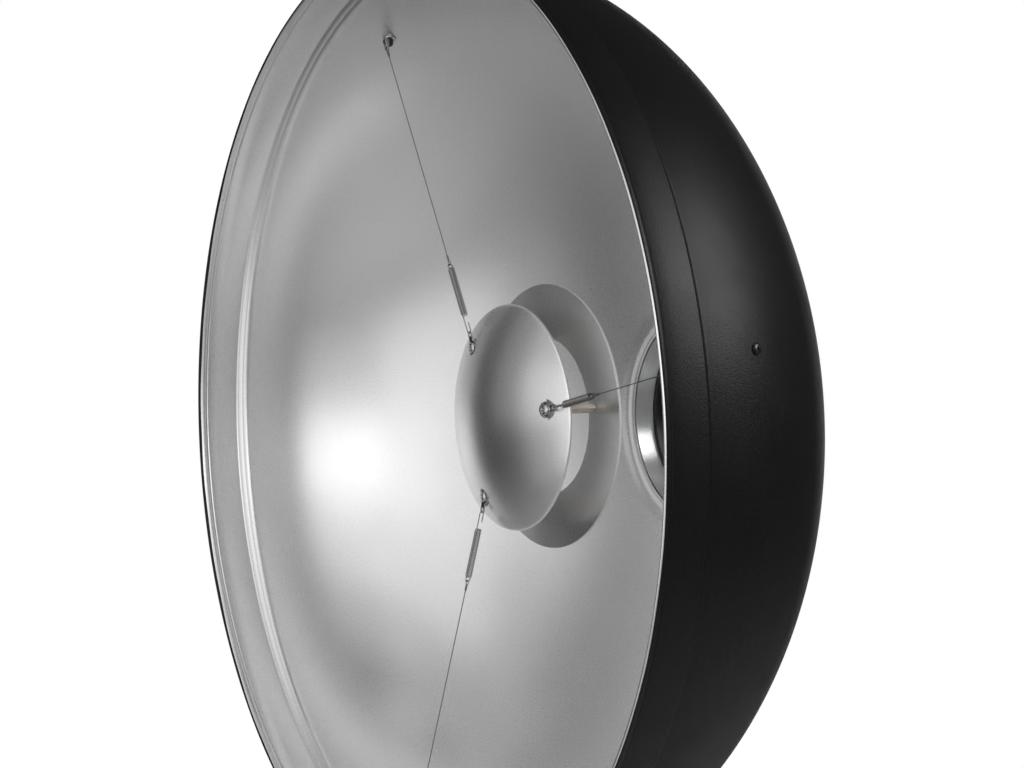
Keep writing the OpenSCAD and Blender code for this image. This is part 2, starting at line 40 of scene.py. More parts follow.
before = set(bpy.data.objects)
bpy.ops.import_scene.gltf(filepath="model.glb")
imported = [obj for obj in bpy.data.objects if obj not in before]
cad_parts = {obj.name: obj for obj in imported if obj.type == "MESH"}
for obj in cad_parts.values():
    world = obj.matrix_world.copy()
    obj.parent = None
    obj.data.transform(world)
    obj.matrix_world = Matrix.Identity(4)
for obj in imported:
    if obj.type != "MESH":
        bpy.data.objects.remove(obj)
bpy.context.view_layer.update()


def corners(node):
    """A CAD node's lowest and highest corner, in millimetres."""
    low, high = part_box(node)
    return low / MM, high / MM


# ---- Driving sizes: _D is a depth behind the rim's plane, _R a radius ----

DISH_LOW, DISH_HIGH = corners("dish_shell")
RING_HIGH = corners("mount_ring")[1]
DOME_LOW, DOME_HIGH = corners("deflector_dome")
PLATE_LOW, PLATE_HIGH = corners("deflector_plate")

# Dish: rolled rim, straight band, step, bowl, groove, flat land round the opening, neck, flange
SHEET = 1.5
FRONT_Y = DISH_LOW.y
RIM_R = min(DISH_HIGH.x, DISH_HIGH.z, -DISH_LOW.x, -DISH_LOW.z)
HEM_T = 4.5
HEM_LEN = 6.5
HEM_ROUND_LEN = HEM_LEN - 1.1
CREST_IN = 1.2
BAND_DEPTH = 34.0
STEP_LEN = 6.0
BOWL_R = RIM_R - 10.5
BOWL_RISE = 234.5
EQUATOR_D = BAND_DEPTH + STEP_LEN
FLANGE_D = DISH_HIGH.y - FRONT_Y - SHEET
FLANGE_R = RING_HIGH.x
FLANGE_T = 3.0
COLLAR_R = FLANGE_R - 8
NECK_LEN = 17.0
LAND_D = FLANGE_D - NECK_LEN
INSERT_R = 76.0
NECK_R = INSERT_R + 2.0
LAND_W = 5.0
GROOVE_W = 11.0
CURL_IN = 0.5

# Deflector: domed front, three hexagonal posts, flat ring plate
HANG = Vector(((DOME_LOW.x + DOME_HIGH.x) / 2, 0, (DOME_LOW.z + DOME_HIGH.z) / 2))
DOME_R = (DOME_HIGH.x - DOME_LOW.x) / 2
DOME_H = 20.0
DOME_T = 1.5
DOME_FRONT_D = DOME_LOW.y - FRONT_Y
DOME_BALL_R = (DOME_R ** 2 + DOME_H ** 2) / (2 * DOME_H)
POST_CIRCLE_R = DOME_R - 19.0
POST_AF = 7.0
POST_LEN = 36.0
BOSS_R = 7.5
BOSS_T = 3.5
SEAT_R = 6.0
SEAT_SINK = 0.8
PLATE_R = (PLATE_HIGH.x - PLATE_LOW.x) / 2
PLATE_HOLE_R = POST_CIRCLE_R - 7.0
PLATE_D = PLATE_LOW.y - FRONT_Y
PLATE_T = PLATE_HIGH.y - PLATE_LOW.y

# Lugs and screws. EYE_PLAY keeps the hook free in the deflector's lug as the deflector floats
LUG_T = 1.0
LUG_W = 4.6
LUG_LEN = 10.9
LUG_RING_R = 5.2
EYE_R = 1.6
EYE_PLAY = 0.12
LUG_END_R = EYE_R + 1
M4_R = 1.95
M4_HOLE_R = 2.05
PAN_R = 4.0
PAN_H = 2.6
DOME_SCREW_LEN = 15.0
PLATE_SCREW_LEN = 13.0
BUTTON_R = 3.8
BUTTON_H = 2.2
WASHER_R = 4.5
WASHER_T = 0.8
CAP_R = 2.8
CAP_LEN = 5.6

# Suspension lines, from the wall to the deflector
ANCHOR_DEPTH = 82.0
BEND_OUT = 5.2
BEND_R = 1.6
WALL_TAIL = 7.5
WALL_GAP = 0.25
SEAT_GAP = 0.05
SPRING_R = 2.7
SPRING_WIRE_R = 0.4
COIL_WIRE_SHARE = 0.84
SPRING_LEN = 39.5
COIL_X = 15.5
COIL_TURNS = 31
HOOK_R = 1.5
HOOK_X = EYE_R - SPRING_WIRE_R - 0.5 + HOOK_R
TIP_LEN = 7.6
LOOP_R = 1.9
CABLE_R = 0.4
LINK_R = 1.7
STRAND_OFF = 0.36
SPLIT_LEN = 6.5
FERRULE_R = 0.95
FERRULE_LEN = 4.5
EYE_LOOP_R = 1.6

# Each line's key, with its post's and its anchor's angle, counted from +X towards +Z
LINES = {"right": (6, 9), "upper": (126, 114), "lower": (246, 250)}


def sag(r):
    """How far the dome's front face falls back at radius r."""
    return DOME_BALL_R - math.sqrt(DOME_BALL_R ** 2 - r ** 2)


SEAT_FACE_D = DOME_FRONT_D + sag(POST_CIRCLE_R) + SEAT_SINK
BOSS_BACK_D = SEAT_FACE_D + BOSS_T
LUG_D = SEAT_FACE_D - SEAT_GAP - LUG_T
POST_D = BOSS_BACK_D + SEAT_GAP
WALL_R = (BOWL_R - SHEET) * math.sqrt(1 - ((ANCHOR_DEPTH - EQUATOR_D) / (BOWL_RISE - SHEET)) ** 2)
WALL_TILT = math.atan((ANCHOR_DEPTH - EQUATOR_D) / BOWL_RISE ** 2 * BOWL_R ** 2 / WALL_R)


# ---- Places: a matrix takes a piece's own millimetres to its place ----

def polar(r, angle, y=0.0):
    a = math.radians(angle)
    return Vector((r * math.cos(a), y, r * math.sin(a)))


def turned_about_y(angle):
    """X points out along the radius at this angle, Y backwards."""
    return Matrix.Rotation(-math.radians(angle), 4, "Y")


# X runs backwards along the dish's axis from the rim's plane, Y and Z are across it
X_TO_BACK = Matrix(((0, 0, 1, 0), (1, 0, 0, 0), (0, 1, 0, 0), (0, 0, 0, 1)))


def on_axis(depth=0.0, across=Vector()):
    return Matrix.Translation(Vector((0, FRONT_Y + depth, 0)) + across) @ X_TO_BACK


def at_post(key, depth):
    return on_axis(depth, HANG + polar(POST_CIRCLE_R, LINES[key][0]))


def at_anchor(key):
    """On the bowl's inner face: X out through the sheet, Y back along it."""
    place = Matrix.Translation(polar(WALL_R, LINES[key][1], FRONT_Y + ANCHOR_DEPTH))
    return place @ turned_about_y(LINES[key][1]) @ Matrix.Rotation(WALL_TILT, 4, "Z")


def screw_point(key):
    return HANG + polar(POST_CIRCLE_R, LINES[key][0], FRONT_Y + LUG_D + LUG_T / 2)


def bend_point(key):
    return at_anchor(key) @ Vector((-WALL_GAP - LUG_T / 2, -BEND_OUT, 0))


def line_turn(key):
    run = bend_point(key) - screw_point(key)
    return math.degrees(math.atan2(run.z, run.x))


def eye_point(key):
    return screw_point(key) + polar(LUG_LEN, line_turn(key))


def on_line(key):
    """X runs from the eye of the deflector's lug to the wall, Y is across it and backwards."""
    run = bend_point(key) - eye_point(key)
    rise = math.atan2(run.y, math.hypot(run.x, run.z))
    place = Matrix.Translation(eye_point(key)) @ turned_about_y(line_turn(key))
    return place @ Matrix.Rotation(rise, 4, "Z")


def pivot_x(key):
    """Where along its line the cable's far eye has its centre."""
    return (bend_point(key) - eye_point(key)).length - WALL_TAIL - (EYE_R - CABLE_R - 0.3 + EYE_LOOP_R)


# ---- Mesh makers ----

def finish_mesh(name, bm, place, materials, crease=35):
    """Turns a bmesh in its own millimetres into a shaded object in place."""
    bmesh.ops.remove_doubles(bm, verts=bm.verts, dist=1e-5)
    bmesh.ops.recalc_face_normals(bm, faces=bm.faces)
    bm.transform(Matrix.Scale(MM, 4) @ place)
    mesh = bpy.data.meshes.new(name)
    bm.to_mesh(mesh)
    bm.free()
    for material in materials:
        mesh.materials.append(material)
    mesh.shade_smooth()
    mesh.set_sharp_from_angle(angle=math.radians(crease))
    obj = bpy.data.objects.new(name, mesh)
    bpy.context.scene.collection.objects.link(obj)
    return obj


def loft(bm, rings, sides, closed=False, kinds=None):
    """Skins rings of (x, radius), each turned about X. Either may be a function of the angle.

    closed joins the last ring to the first; otherwise a ring of radius 0 is a pole and any
    other end ring is filled. kinds gives each band's material slot."""
    loops = []
    for x, radius in rings:
        if not callable(radius) and radius == 0:
            loops.append([bm.verts.new((x, 0, 0))])
            continue
        loop = []
        for k in range(sides):
            a = TAU * k / sides
            r = radius(a) if callable(radius) else radius
            at_x = x(a) if callable(x) else x
            loop.append(bm.verts.new((at_x, r * math.cos(a), r * math.sin(a))))
        loops.append(loop)
    pairs = list(zip(loops, loops[1:]))
    if closed:
        pairs.append((loops[-1], loops[0]))
    for n, (p, q) in enumerate(pairs):
        for k in range(sides):
            j = (k + 1) % sides
            if len(p) == 1:
                face = bm.faces.new((p[0], q[j], q[k]))
            elif len(q) == 1:
                face = bm.faces.new((p[k], p[j], q[0]))
            else:
                face = bm.faces.new((p[k], p[j], q[j], q[k]))
            if kinds:
                face.material_index = kinds[n]
    if not closed:
        for loop in (loops[0], loops[-1]):
            if len(loop) > 1:
                bm.faces.new(loop)


def turned(name, rings, place, material, sides=96, closed=False, crease=35):
    bm = bmesh.new()
    loft(bm, rings, sides, closed)
    return finish_mesh(name, bm, place, [material], crease)


def arc(cx, cr, r, start, end, steps=6):
    """Points (x, radius) of a rounded corner about (cx, cr); angles from +x towards +radius."""
    turns = [math.radians(start + (end - start) * k / steps) for k in range(steps + 1)]
    return [(cx + r * math.cos(t), cr + r * math.sin(t)) for t in turns]


def sweep(bm, points, radius, sides=8):
    """A round wire along a path of points, with closed ends. radius may be a function of the
    ring's number and the angle round it."""
    rings = []
    up = None
    for k, p in enumerate(points):
        run = (points[min(k + 1, len(points) - 1)] - points[max(k - 1, 0)]).normalized()
        if up is None:
            up = run.orthogonal().normalized()
        up = (up - run * up.dot(run)).normalized()
        side = run.cross(up)
        ring = []
        for j in range(sides):
            a = TAU * j / sides
            r = radius(k, a) if callable(radius) else radius
            ring.append(bm.verts.new(p + up * (r * math.cos(a)) + side * (r * math.sin(a))))
        rings.append(ring)
    for p, q in zip(rings, rings[1:]):
        for j in range(sides):
            bm.faces.new((p[j], p[(j + 1) % sides], q[(j + 1) % sides], q[j]))
    bm.faces.new(rings[0])
    bm.faces.new(rings[-1])


def stamped(outline, holes, thickness, round_off=0.12, steps=2):
    """A flat plate cut from an outline of (x, y) points with round holes (x, y, r), its edges
    slightly rounded. It lies on z = 0, centred. Returns a bmesh."""
    curve = bpy.data.curves.new("plate", "CURVE")
    curve.dimensions = "2D"
    curve.fill_mode = "BOTH"
    curve.extrude = thickness / 2 - round_off
    curve.bevel_depth = round_off
    curve.bevel_resolution = steps
    loops = [outline]
    for x, y, r in holes:
        count = max(32, min(180, int(r * 6)))
        loops.append([(x + r * math.cos(TAU * k / count), y - r * math.sin(TAU * k / count))
                      for k in range(count)])
    for loop in loops:
        spline = curve.splines.new("POLY")
        spline.points.add(len(loop) - 1)
        for point, (x, y) in zip(spline.points, loop):
            point.co = (x, y, 0, 1)
        spline.use_cyclic_u = True
    curve.offset = -round_off
    obj = bpy.data.objects.new("plate", curve)
    bpy.context.scene.collection.objects.link(obj)
    depsgraph = bpy.context.evaluated_depsgraph_get()
    mesh = bpy.data.meshes.new_from_object(obj.evaluated_get(depsgraph))
    bm = bmesh.new()
    bm.from_mesh(mesh)
    bpy.data.objects.remove(obj)
    bpy.data.curves.remove(curve)
    bpy.data.meshes.remove(mesh)
    bmesh.ops.remove_doubles(bm, verts=bm.verts, dist=1e-4)
    return bm


def keep(piece, body, slot, *nodes):
    """Rides a finished piece on its body and hides the CAD nodes it stands for. slot is not used."""
    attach(piece, body)
    if nodes:
        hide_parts(*nodes)
    return piece


# ---- Materials ----

def math_node(tree, operation, a, b):
    """A sum of two numbers or sockets, or another such operation."""
    made = tree.nodes.new("ShaderNodeMath")
    made.operation = operation
    for socket, value in zip(made.inputs, (a, b)):
        if isinstance(value, (int, float)):
            socket.default_value = value
        else:
            tree.links.new(value, socket)
    return made.outputs[0]


class Shader:
    """Short names for building one procedural material."""

    def __init__(self, name, color, roughness, metallic=0.0):
        self.material = bpy.data.materials.new(name)
        self.material.use_nodes = True
        self.tree = self.material.node_tree
        self.bsdf = self.tree.nodes["Principled BSDF"]
        self.place = self.node("ShaderNodeTexCoord").outputs["Object"]
        self.set("Base Color", (*color, 1))
        self.set("Roughness", roughness)
        self.set("Metallic", metallic)

    def node(self, kind, **settings):
        made = self.tree.nodes.new(kind)
        for key, value in settings.items():
            setattr(made, key, value)
        return made

    def link(self, output, target):
        self.tree.links.new(output, target)
        return target

    def set(self, socket, value):
        self.bsdf.inputs[socket].default_value = value

    def noise(self, scale, detail=2.0, rough=0.5, stretch=None):
        """Noise over the object, in cycles per metre. stretch squeezes or draws it along XYZ."""
        place = self.place
        if stretch:
            mapping = self.node("ShaderNodeMapping")
            mapping.inputs["Scale"].default_value = stretch
            self.link(place, mapping.inputs["Vector"])
            place = mapping.outputs["Vector"]
        made = self.node("ShaderNodeTexNoise")
        made.inputs["Scale"].default_value = scale
        made.inputs["Detail"].default_value = detail
        made.inputs["Roughness"].default_value = rough
        self.link(place, made.inputs["Vector"])
        return made.outputs["Fac"]

    def spread(self, source, low, high, at=(0.3, 0.7)):
        """Maps a source from the range at to low..high."""
        made = self.node("ShaderNodeMapRange")
        made.inputs["From Min"].default_value = at[0]
        made.inputs["From Max"].default_value = at[1]
        made.inputs["To Min"].default_value = low
        made.inputs["To Max"].default_value = high
        self.link(source, made.inputs["Value"])
        return made.outputs["Result"]

    def ramp(self, source, dark, light, at=(0.3, 0.7)):
        """A colour between dark and light."""
        made = self.node("ShaderNodeValToRGB")
        for element, place, color in zip(made.color_ramp.elements, at, (dark, light)):
            element.position = place
            element.color = (*color, 1)
        self.link(source, made.inputs["Fac"])
        return made.outputs["Color"]

    def blend(self, factor, first, second, mode="MIX"):
        made = self.node("ShaderNodeMix", data_type="RGBA", blend_type=mode)
        if isinstance(factor, float):
            made.inputs[0].default_value = factor
        else:
            self.link(factor, made.inputs[0])
        self.link(first, made.inputs[6])
        self.link(second, made.inputs[7])
        return made.outputs[2]

    def math(self, operation, a, b):
        return math_node(self.tree, operation, a, b)

    def color(self, source):
        self.link(source, self.bsdf.inputs["Base Color"])

    def rough(self, source):
        self.link(source, self.bsdf.inputs["Roughness"])

    def bump(self, height, depth, strength=1.0):
        """Bump of this depth in millimetres."""
        made = self.node("ShaderNodeBump")
        made.inputs["Strength"].default_value = strength
        made.inputs["Distance"].default_value = depth * MM
        self.link(height, made.inputs["Height"])
        self.link(made.outputs["Normal"], self.bsdf.inputs["Normal"])


def silver_paint(name, tone, roughness, contrast):
    """Satin aluminium-flake paint: fine sand-like grain, faint clouds."""
    paint = Shader(name, (tone, tone, tone), roughness, 1.0)
    grain = paint.noise(1500, 3.0, 0.6)
    clouds = paint.noise(14, 3.0)
    flakes = paint.ramp(grain, (tone * (1 - contrast),) * 3, (tone * (1 + contrast),) * 3, (0.32, 0.68))
    cloudy = paint.ramp(clouds, (0.96, 0.96, 0.96), (1, 1, 1), (0.3, 0.7))
    paint.color(paint.blend(1.0, flakes, cloudy, "MULTIPLY"))
    paint.rough(paint.spread(grain, roughness - 0.05, roughness + 0.06))
    paint.bump(paint.noise(1200, 2.0, 0.6), 0.05, 2 * contrast)
    return paint.material


def sand_black(name):
    """Matt black powder coat with a fine sand texture."""
    paint = Shader(name, (0.005, 0.005, 0.005), 0.4)
    sand = paint.noise(900, 3.0, 0.65)
    paint.color(paint.ramp(sand, (0.003, 0.003, 0.003), (0.008, 0.008, 0.008)))
    paint.rough(paint.spread(paint.noise(25, 2.0), 0.38, 0.44))
    paint.set("Specular IOR Level", 0.25)
    paint.bump(sand, 0.16, 0.9)
    return paint.material


def bare_metal(name, tone, roughness, lines=None, wear=0.06, turned_marks=0.0):
    """A metal with fine finishing marks, stretched along one axis if lines says so.
    turned_marks is how much a lathe's marks round the dish's axis smear reflections."""
    metal = Shader(name, tone, roughness, 1.0)
    if turned_marks:
        metal.set("Anisotropic", turned_marks)
        metal.set("Anisotropic Rotation", 0.25)
        around = metal.node("ShaderNodeTangent", direction_type="RADIAL", axis="Y")
        metal.link(around.outputs["Tangent"], metal.bsdf.inputs["Tangent"])
    marks = metal.noise(900, 3.0, 0.6, lines)
    smudge = metal.noise(60, 2.0)
    dark = tuple(c * (1 - wear * 2) for c in tone)
    light = tuple(min(1, c * (1 + wear)) for c in tone)
    metal.color(metal.blend(0.5, metal.ramp(marks, dark, light), metal.ramp(smudge, dark, light)))
    metal.rough(metal.spread(marks, roughness * 0.8, roughness * 1.25))
    metal.bump(marks, 0.01, 0.35)
    return metal.material


def black_finish(name, tone, roughness):
    """Black oxide, anodising or moulding, a little paler where it is rubbed."""
    finish = Shader(name, (tone, tone, tone), roughness)
    fine = finish.noise(1100, 3.0)
    rubbed = finish.noise(90, 2.0)
    finish.color(finish.ramp(rubbed, (tone * 0.8,) * 3, (tone * 1.5,) * 3))
    finish.rough(finish.spread(fine, roughness - 0.07, roughness + 0.07))
    finish.bump(fine, 0.02, 0.5)
    return finish.material


SILVER = silver_paint("silver_inside", 0.70, 0.30, 0.08)
DEFLECTOR = silver_paint("silver_deflector", 0.74, 0.30, 0.05)
BLACK = sand_black("sand_black")
ALUMINIUM = bare_metal("polished_aluminium", (0.88, 0.885, 0.89), 0.4, (0.1, 6, 0.1), turned_marks=0.95)
ZINC = bare_metal("zinc_steel", (0.62, 0.63, 0.65), 0.3, wear=0.1)
CHROME = bare_metal("chrome", (0.52, 0.53, 0.54), 0.1)
NICKEL = bare_metal("nickel_steel", (0.62, 0.57, 0.50), 0.25, (1, 0.05, 1))
SPRING_STEEL = bare_metal("spring_steel", (0.27, 0.265, 0.255), 0.2)
CABLE_STEEL = bare_metal("cable_steel", (0.22, 0.22, 0.22), 0.35)
BRASS = bare_metal("brass", (0.80, 0.60, 0.26), 0.25)
INSERT = black_finish("black_insert", 0.016, 0.45)
OXIDE = black_finish("black_oxide", 0.008, 0.3)


# ---- Dish ----

def bowl_depth(r, inset=0.0):
    return EQUATOR_D + (BOWL_RISE - inset) * math.sqrt(1 - (r / (BOWL_R - inset)) ** 2)


def bowl_curve(inset, steps=110):
    """The bowl's quarter ellipse from its widest point in to the groove."""
    groove_r = NECK_R + LAND_W + GROOVE_W
    last = math.acos(groove_r / (BOWL_R - inset))
    turns = [last * k / steps for k in range(1, steps + 1)]
    return [(EQUATOR_D + (BOWL_RISE - inset) * math.sin(t), (BOWL_R - inset) * math.cos(t)) for t in turns]


def soft_groove(inset, steps=12):
    """S-shaped blend from the bowl down to the land around the opening."""
    start_r = NECK_R + LAND_W + GROOVE_W
    start_d = bowl_depth(start_r) - inset
    fall = LAND_D - inset - start_d
    slope = bowl_depth(start_r - 1) - bowl_depth(start_r)
    points = []
    for k in range(1, steps + 1):
        t = k / steps
        d = start_d + fall * (3 - 2 * t) * t ** 2 + slope * GROOVE_W * t * (1 - t) ** 2
        points.append((d, start_r - GROOVE_W * t))
    return points


def spray_edge(a):
    """Where on the rolled rim the silver ends, in degrees: 90 is the rim's outside, 180 its
    crest, 270 its inside. It wanders: further out on the right side than on the left."""
    return 178 - 48 * math.sin(a) + 2 * math.sin(9 * a) + 2 * math.sin(31 * a + 1)


def bead_ring(start, end, share):
    """A ring of the rolled rim, this share of the way between two of spray_edge's angles.
    The rim's section is a drop, short outside its crest and long inside."""
    def turn(a):
        first, last = (t(a) if callable(t) else t for t in (start, end))
        return first + (last - first) * share

    def depth(a):
        reach = HEM_T / 2 if turn(a) < 180 else HEM_ROUND_LEN
        return reach + reach * math.cos(math.radians(turn(a)))

    def radius(a):
        reach = CREST_IN if turn(a) < 180 else HEM_T - CREST_IN
        return RIM_R - CREST_IN + reach * math.sin(math.radians(turn(a)))
    return depth, radius


def outside():
    """The black side, from the silver's edge on the rolled rim back to the flange."""
    band_r = RIM_R - HEM_T + SHEET
    neck_in = NECK_R + CURL_IN + SHEET
    rings = [bead_ring(spray_edge, 90, k / 10) for k in range(11)]
    rings += [(3.2, RIM_R - 0.08), (4.2, RIM_R - 0.35), (5.1, RIM_R - 0.85), (5.8, RIM_R - 1.5),
              (HEM_LEN - 0.45, RIM_R - 2.1)]
    # The groove behind the rolled edge, then the band
    rings += [(HEM_LEN - 0.35, band_r + 0.4), (HEM_LEN - 1.9, band_r + 0.3),
              (HEM_LEN - 1.9, band_r - 0.45), (HEM_LEN + 0.4, band_r - 0.4),
              (HEM_LEN + 0.7, band_r - 0.1), (HEM_LEN + 1.1, band_r), (BAND_DEPTH * 0.5, band_r)]
    # The step in to the bowl
    rings += [(BAND_DEPTH - 0.8, band_r), (BAND_DEPTH, band_r - 0.2), (BAND_DEPTH + 0.4, band_r - 0.7),
              (EQUATOR_D - 1.6, BOWL_R + 1.9), (EQUATOR_D - 0.7, BOWL_R + 0.8),
              (EQUATOR_D + 0.3, BOWL_R + 0.25), (EQUATOR_D + 1.7, BOWL_R)]
    rings += bowl_curve(0.0) + soft_groove(0.0)
    rings += arc(LAND_D + CURL_IN, neck_in, CURL_IN, 180, 270, 4)
    rings += arc(FLANGE_D - CURL_IN, neck_in, CURL_IN, 270, 360, 4)
    return rings + [(FLANGE_D, FLANGE_R - 0.3), (FLANGE_D + 0.3, FLANGE_R)]


def inside():
    """The silver side, from the flange forward to its edge on the rolled rim."""
    inner_r = RIM_R - HEM_T
    low_r = BOWL_R - SHEET
    curl_out = CURL_IN + SHEET
    neck_in = NECK_R + curl_out
    rings = [(FLANGE_D + SHEET - 0.3, FLANGE_R), (FLANGE_D + SHEET, FLANGE_R - 0.3)]
    rings += arc(FLANGE_D - CURL_IN, neck_in, curl_out, 360, 270, 6)
    rings += arc(LAND_D + CURL_IN, neck_in, curl_out, 270, 180, 6)
    rings += soft_groove(SHEET)[::-1] + bowl_curve(SHEET)[::-1]
    # The step: a rounded nose, then a short ramp out to the band
    rings += [(EQUATOR_D + 1.5, low_r + 0.15), (EQUATOR_D + 0.2, low_r + 0.4),
              (EQUATOR_D - 0.8, low_r + 0.9), (EQUATOR_D - 1.7, low_r + 1.9),
              (EQUATOR_D - 2.2, low_r + 2.8), (EQUATOR_D - 2.5, low_r + 3.3),
              (EQUATOR_D - 2.9, low_r + 3.6), (EQUATOR_D - 4.1, low_r + 4.6),
              (EQUATOR_D - 5.0, low_r + 5.9), (BAND_DEPTH + 0.6, inner_r - 0.6),
              (BAND_DEPTH + 0.1, inner_r - 0.2), (BAND_DEPTH - 0.7, inner_r)]
    # The band, and the narrow groove where the rolled edge ends
    rings += [(BAND_DEPTH * 0.5, inner_r), (HEM_LEN + 1.1, inner_r), (HEM_LEN + 0.75, inner_r + 0.1),
              (HEM_LEN + 0.4, inner_r + 0.5), (HEM_LEN, inner_r + 0.5), (HEM_LEN - 0.5, inner_r + 0.08)]
    return rings + [bead_ring(270, spray_edge, k / 14) for k in range(15)]


def make_dish():
    """One closed sheet: black outside, silver inside, with a rolled rim."""
    outer, inner = outside(), inside()
    kinds = [0] * len(outer) + [1] * len(inner)
    bm = bmesh.new()
    loft(bm, outer + inner, 360, closed=True, kinds=kinds)
    piece = finish_mesh("dish", bm, on_axis(), [BLACK, SILVER], 50)
    return keep(piece, "dish", "dish_black", "dish_shell")


def make_mount_ring():
    """Polished collar in the neck, with its flange behind."""
    flange_front = FLANGE_D + SHEET + SEAT_GAP
    flange_back = flange_front + FLANGE_T
    back_d = RING_HIGH.y - FRONT_Y
    lip_r = INSERT_R - 0.3
    shoulder_d = FLANGE_D - 1
    front_d = LAND_D + 0.9
    out_r = NECK_R - 0.1
    rings = [(front_d + 0.1, out_r - 0.95), (front_d + 0.5, out_r - 1.05),
             (shoulder_d - 0.25, lip_r + 0.08), (shoulder_d, lip_r), (shoulder_d + 0.6, lip_r),
             (shoulder_d + 0.8, lip_r + 0.15), (shoulder_d + 0.8, INSERT_R + 0.1),
             (back_d - 0.5, INSERT_R + 0.1), (back_d, INSERT_R + 0.6),
             (back_d, COLLAR_R - 0.5), (back_d - 0.5, COLLAR_R), (flange_back + 0.8, COLLAR_R),
             (flange_back + 0.25, COLLAR_R + 0.25), (flange_back, COLLAR_R + 0.8),
             (flange_back, FLANGE_R - 0.5), (flange_back - 0.5, FLANGE_R),
             (flange_front + 0.3, FLANGE_R), (flange_front, FLANGE_R - 0.3)]
    rings += arc(FLANGE_D - CURL_IN, NECK_R + CURL_IN + SHEET, CURL_IN + SHEET + 0.1, 360, 270, 6)
    # A narrow gap to the neck, which reads as a dark line
    rings += [(front_d + 3.5, out_r), (front_d + 3.0, out_r - 0.5), (front_d + 0.1, out_r - 0.55),
              (front_d, out_r - 0.65), (front_d, out_r - 0.85)]
    piece = turned("mount_collar", rings, on_axis(), ALUMINIUM, 240, closed=True, crease=30)
    return keep(piece, "dish", "polished_aluminium", "mount_ring")


# ---- Screws, nuts, posts ----

def cross_section(half_width, reach):
    """Radius of a cross-shaped section at an angle."""
    def radius(a):
        turn = abs((a + math.pi / 4) % (math.pi / 2) - math.pi / 4)
        if math.tan(turn) < half_width / reach:
            return reach / math.cos(turn)
        return half_width / math.sin(turn)
    return radius


def hex_section(flats_r):
    """Radius of a hexagonal section whose flats lie flats_r from the centre."""
    def radius(a):
        return flats_r / math.cos((a + math.pi / 6) % (math.pi / 3) - math.pi / 6)
    return radius


def soft_hex(flats_r, limit):
    """A hexagonal section whose corners are turned down to a radius."""
    flat = hex_section(flats_r)
    return lambda a: min(flat(a), limit)


# Where a screw head's crown ends, and where its recess begins
CROWN_TOP_R = 2.6
RECESS_R = 2.3


def pan_screw(name, place, length, material, head_r=PAN_R, head_h=PAN_H, drive="cross"):
    """A screw whose head is crowned towards -X and whose shank runs to +X."""
    rim_h = head_h * 0.45
    crown = head_h - rim_h
    crown_r = (head_r ** 2 + crown ** 2) / (2 * crown)
    rings = [(length, 0), (length, M4_R - 0.4), (length - 0.5, M4_R), (-0.01, M4_R),
             (0, head_r - 0.15), (-0.15, head_r), (-rim_h, head_r)]
    for k in range(1, 7):
        r = head_r - (head_r - CROWN_TOP_R) * k / 6
        rings.append((-head_h + crown_r - math.sqrt(crown_r ** 2 - r * r), r))
    top = -head_h + crown_r - math.sqrt(crown_r ** 2 - RECESS_R ** 2)
    if drive == "cross":
        rings += [(top, cross_section(0.62, 2.35)), (top + 0.15, cross_section(0.5, 2.15)),
                  (top + 1.3, cross_section(0.42, 1.2)), (top + 1.6, 0)]
    else:
        rings += [(top, hex_section(1.3)), (top + 0.15, hex_section(1.22)), (top + 1.4, hex_section(1.22)),
                  (top + 1.7, 0)]
    return turned(name, rings, place, material, 72)


def make_posts():
    """Hexagonal posts with turned-down corners between the two plates."""
    for key in LINES:
        flats = POST_AF / 2
        corner = POST_AF / math.sqrt(3)
        rings = [(0, 0), (0, flats - 0.1), (0.5, soft_hex(flats, corner - 0.12)),
                 (POST_LEN - 0.5, soft_hex(flats, corner - 0.12)), (POST_LEN, flats - 0.1), (POST_LEN, 0)]
        piece = turned("deflector_post_" + key, rings, at_post(key, POST_D), NICKEL, 72, crease=20)
        keep(piece, "deflector", "nickel_steel", "post_" + key)


def make_screws():
    """Cross-recess screws in front of the dome, and screws with washers behind the plate."""
    washer = [(0.1, M4_HOLE_R), (0, M4_HOLE_R + 0.1), (0, WASHER_R - 0.1), (0.1, WASHER_R),
              (WASHER_T - 0.1, WASHER_R), (WASHER_T, WASHER_R - 0.1),
              (WASHER_T, M4_HOLE_R + 0.1), (WASHER_T - 0.1, M4_HOLE_R)]
    plate_back_d = PLATE_D + PLATE_T + SEAT_GAP
    for k, key in enumerate(LINES):
        spin = Matrix.Rotation(math.radians(20 + 35 * k), 4, "X")
        front = at_post(key, LUG_D - SEAT_GAP) @ spin
        screw = pan_screw("dome_screw_" + key, front, DOME_SCREW_LEN, CHROME)
        keep(screw, "deflector", "chrome", "dome_screws")
        face_back = Matrix.Rotation(math.pi, 4, "Z")
        back = at_post(key, plate_back_d + WASHER_T + SEAT_GAP) @ face_back @ spin
        screw = pan_screw("plate_screw_" + key, back, PLATE_SCREW_LEN, CHROME, PAN_R - 0.2)
        keep(screw, "deflector", "chrome", "plate_screws")
        ring = turned("plate_washer_" + key, washer, at_post(key, plate_back_d), ZINC, 48, closed=True)
        keep(ring, "deflector", "zinc_steel", "plate_washers")


